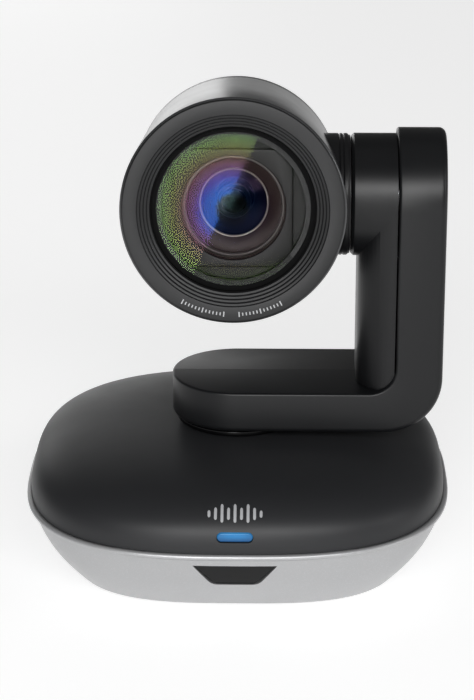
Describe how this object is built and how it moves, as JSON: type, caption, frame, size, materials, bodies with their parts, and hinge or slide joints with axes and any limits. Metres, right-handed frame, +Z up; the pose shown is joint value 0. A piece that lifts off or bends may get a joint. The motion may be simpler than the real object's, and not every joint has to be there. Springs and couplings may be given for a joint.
{
  "type": "conference camera",
  "caption": "Motorised pan, tilt and zoom conference camera: a drum head on an L-shaped arm that turns on a low domed base.",
  "frame": {"origin": "centre of the base's bounding box on the surface it stands on, which is also on the pan axis", "axes": "+Z up along the pan axis, -Y the way the lens faces, +X towards the arm's upright"},
  "size_m": [0.131, 0.13, 0.1515],
  "materials": {
    "rubber_black": "matt moulded rubber",
    "charcoal_plastic": "fine-grain matt charcoal",
    "screw_steel": "zinc plated",
    "insert_brass": "turned brass",
    "silver_paint": "satin silver paint with a fine grain",
    "status_blue": "translucent blue light pipe",
    "board_green": "solder mask",
    "window_gloss": "polished black",
    "component_black": "moulded black",
    "plated_steel": "ground and plated steel",
    "cast_alloy": "die-cast alloy",
    "motor_can": "zinc grey can",
    "gear_ivory": "acetal",
    "arm_satin": "satin black shell",
    "cable_film": "polyimide film",
    "gunmetal_satin": "satin gunmetal",
    "ring_graphite": "satin graphite with turned grooves",
    "clear_glass": "anti-reflection coated cover glass",
    "coated_glass": "coated lens element",
    "ring_bronze": "dark bronze retaining ring"
  },
  "bodies": {
    "base": {"foot_pads": "rubber_black", "bottom_plate": "charcoal_plastic", "base_screws": "screw_steel", "tripod_insert": "insert_brass", "lower_shell": "silver_paint", "top_cover": "charcoal_plastic", "status_light": "status_blue", "front_board": "board_green", "remote_window": "window_gloss", "remote_sensor": "component_black", "main_board": "board_green", "board_chips": "component_black", "board_screws": "screw_steel", "rear_panel": "component_black", "power_jack": "component_black", "usb_socket": "plated_steel", "lock_plate": "plated_steel", "pan_frame": "cast_alloy", "pan_bearings": "plated_steel", "pan_motor": "motor_can", "pan_sensor": "component_black"},
    "pan_pinion": {"pan_motor_shaft": "plated_steel", "pan_pinion": "insert_brass"},
    "arm": {"pan_shaft": "plated_steel", "pan_gear": "gear_ivory", "pan_flag": "component_black", "shaft_clip": "screw_steel", "arm_collar": "window_gloss", "arm_core": "cast_alloy", "core_screws": "screw_steel", "arm_front_shell": "arm_satin", "arm_rear_shell": "arm_satin", "inner_cover": "arm_satin", "tilt_motor": "motor_can", "tilt_bearings": "plated_steel", "arm_cable": "cable_film"},
    "tilt_pinion": {"tilt_motor_shaft": "plated_steel", "tilt_pinion": "insert_brass"},
    "head": {"tilt_shaft": "plated_steel", "tilt_gear": "gear_ivory", "tilt_hub": "window_gloss", "drum_shell": "gunmetal_satin", "front_ring": "ring_graphite", "rear_cap": "gunmetal_satin", "cover_glass": "clear_glass", "lens_mask": "component_black", "lens_barrel": "component_black", "front_lens": "coated_glass", "lens_retainer": "ring_bronze", "optical_chassis": "component_black", "head_frame": "cast_alloy", "guide_rods": "plated_steel", "stage_motors": "motor_can", "image_board": "board_green"},
    "zoom_group": {"zoom_carriage": "component_black", "zoom_lens": "coated_glass"},
    "focus_group": {"focus_carriage": "component_black", "focus_lens": "coated_glass"},
    "zoom_screw": {"zoom_screw": "plated_steel"},
    "focus_screw": {"focus_screw": "plated_steel"}
  },
  "joints": [
    {"name": "pan", "type": "hinge", "parent": "base", "child": "arm", "pos_m": [0, 0, 0.03], "axis": [0, 0, 1], "range_deg": [-130, 130]},
    {"name": "pan_pinion_spin", "type": "hinge", "parent": "base", "child": "pan_pinion", "pos_m": [0.027, 0, 0.032], "axis": [0, 0, 1], "range_deg": [-460, 460]},
    {"name": "tilt", "type": "hinge", "parent": "arm", "child": "head", "pos_m": [0, 0, 0.1135], "axis": [-1, 0, 0], "range_deg": [-48.6, 81.4]},
    {"name": "tilt_pinion_spin", "type": "hinge", "parent": "arm", "child": "tilt_pinion", "pos_m": [0.045, 0, 0.0935], "axis": [-1, 0, 0], "range_deg": [-195, 195]},
    {"name": "zoom_travel", "type": "slide", "parent": "head", "child": "zoom_group", "axis": [0, 0.9888, -0.1495], "range_m": [-0.002, 0.005]},
    {"name": "focus_travel", "type": "slide", "parent": "head", "child": "focus_group", "axis": [0, 0.9888, -0.1495], "range_m": [-0.0015, 0.0015]},
    {"name": "zoom_screw_spin", "type": "hinge", "parent": "head", "child": "zoom_screw", "pos_m": [-0.0124, 0.00817, 0.10063], "axis": [0, 0.9888, -0.1495], "range_deg": [-370, 910]},
    {"name": "focus_screw_spin", "type": "hinge", "parent": "head", "child": "focus_screw", "pos_m": [0.0106, 0.01161, 0.12337], "axis": [0, 0.9888, -0.1495], "range_deg": [-280, 280]}
  ],
  "couplings": [
    {"joint": "pan_pinion_spin", "follows": "pan", "ratio": -3.5},
    {"joint": "tilt_pinion_spin", "follows": "tilt", "ratio": -2.3333},
    {"joint": "zoom_screw_spin", "follows": "zoom_travel", "rad_per_m": 3141.6},
    {"joint": "focus_screw_spin", "follows": "focus_travel", "rad_per_m": 3141.6}
  ]
}
